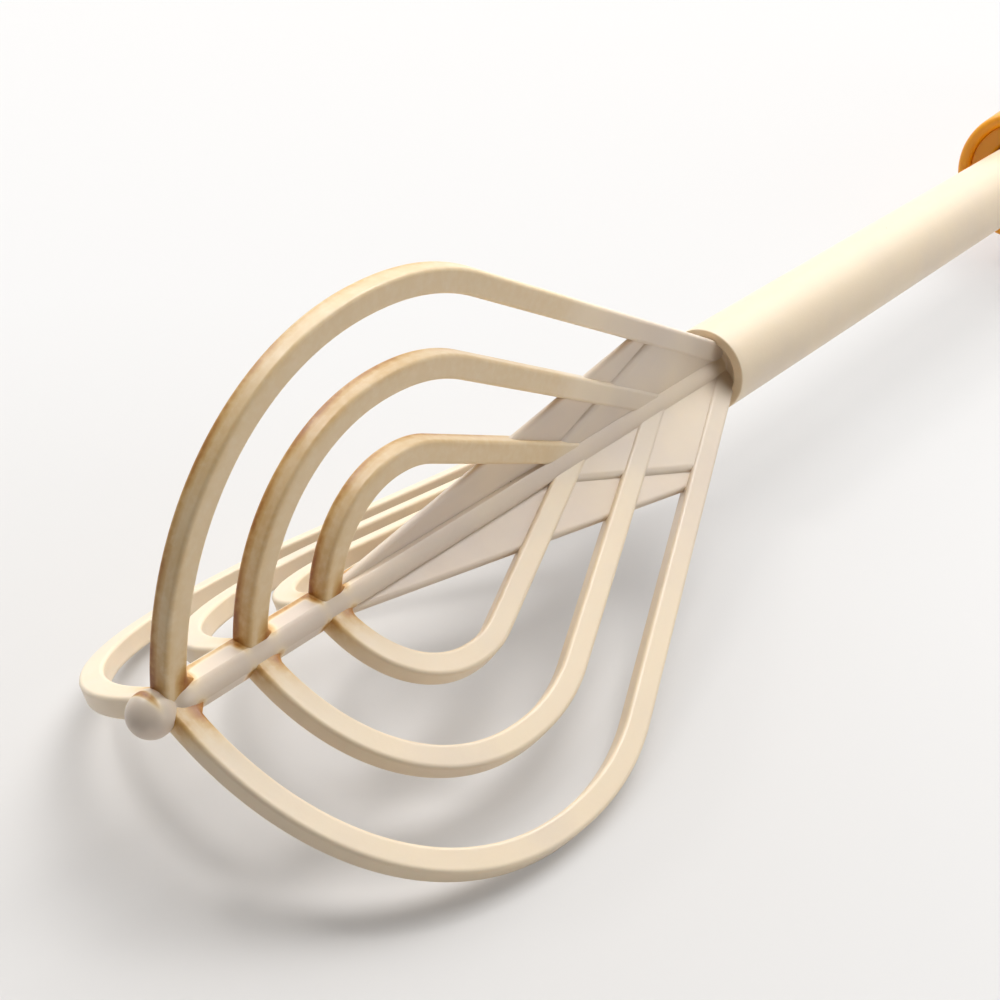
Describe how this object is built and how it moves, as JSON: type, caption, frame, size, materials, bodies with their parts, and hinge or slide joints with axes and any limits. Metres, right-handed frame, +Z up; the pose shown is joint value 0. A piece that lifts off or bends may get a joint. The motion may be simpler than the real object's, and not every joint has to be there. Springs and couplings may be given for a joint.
{
  "type": "rotary push whisk",
  "caption": "Hand whisk with a winged plastic head that spins as the handle is pushed down over its tube; a twisted spindle drives it and a spring returns it.",
  "frame": {"origin": "on the table under the middle of the whisk's box, as it lies on two wings and the palm knob", "axes": "+X along the shaft from the ball tip towards the palm knob, +Z up, with wing 1 standing straight up"},
  "size_m": [0.3084, 0.0586, 0.0509],
  "materials": {
    "cream_plastic": "satin cream moulding, a little yellowed",
    "orange_plastic": "smooth orange moulding",
    "nylon": "natural nylon",
    "steel": "bright drawn steel"
  },
  "bodies": {
    "handle": {"handle_grip": "orange_plastic", "palm_knob": "orange_plastic", "guide_bush": "orange_plastic", "drive_spindle": "steel", "spindle_pin": "steel", "return_spring": "steel"},
    "carriage": {"spring_seat": "steel"},
    "rotor": {"thrust_washer": "nylon", "drive_nut": "nylon", "nut_pin_1": "steel", "nut_pin_2": "steel", "push_tube": "cream_plastic", "whisk_shaft": "cream_plastic", "wing_1": "cream_plastic", "wing_2": "cream_plastic", "wing_3": "cream_plastic"}
  },
  "joints": [
    {"name": "push", "type": "slide", "parent": "handle", "child": "carriage", "axis": [1, 0, 0], "range_m": [0, 0.05], "stiffness_N_per_m": 120, "springref_m": -0.02, "deforming": ["return_spring"]},
    {"name": "spin", "type": "hinge", "parent": "carriage", "child": "rotor", "pos_m": [0, 0, 0.01759], "axis": [1, 0, 0], "range_deg": [0, 450.5]}
  ],
  "couplings": [
    {"joint": "spin", "follows": "push", "rad_per_m": 157.08}
  ]
}
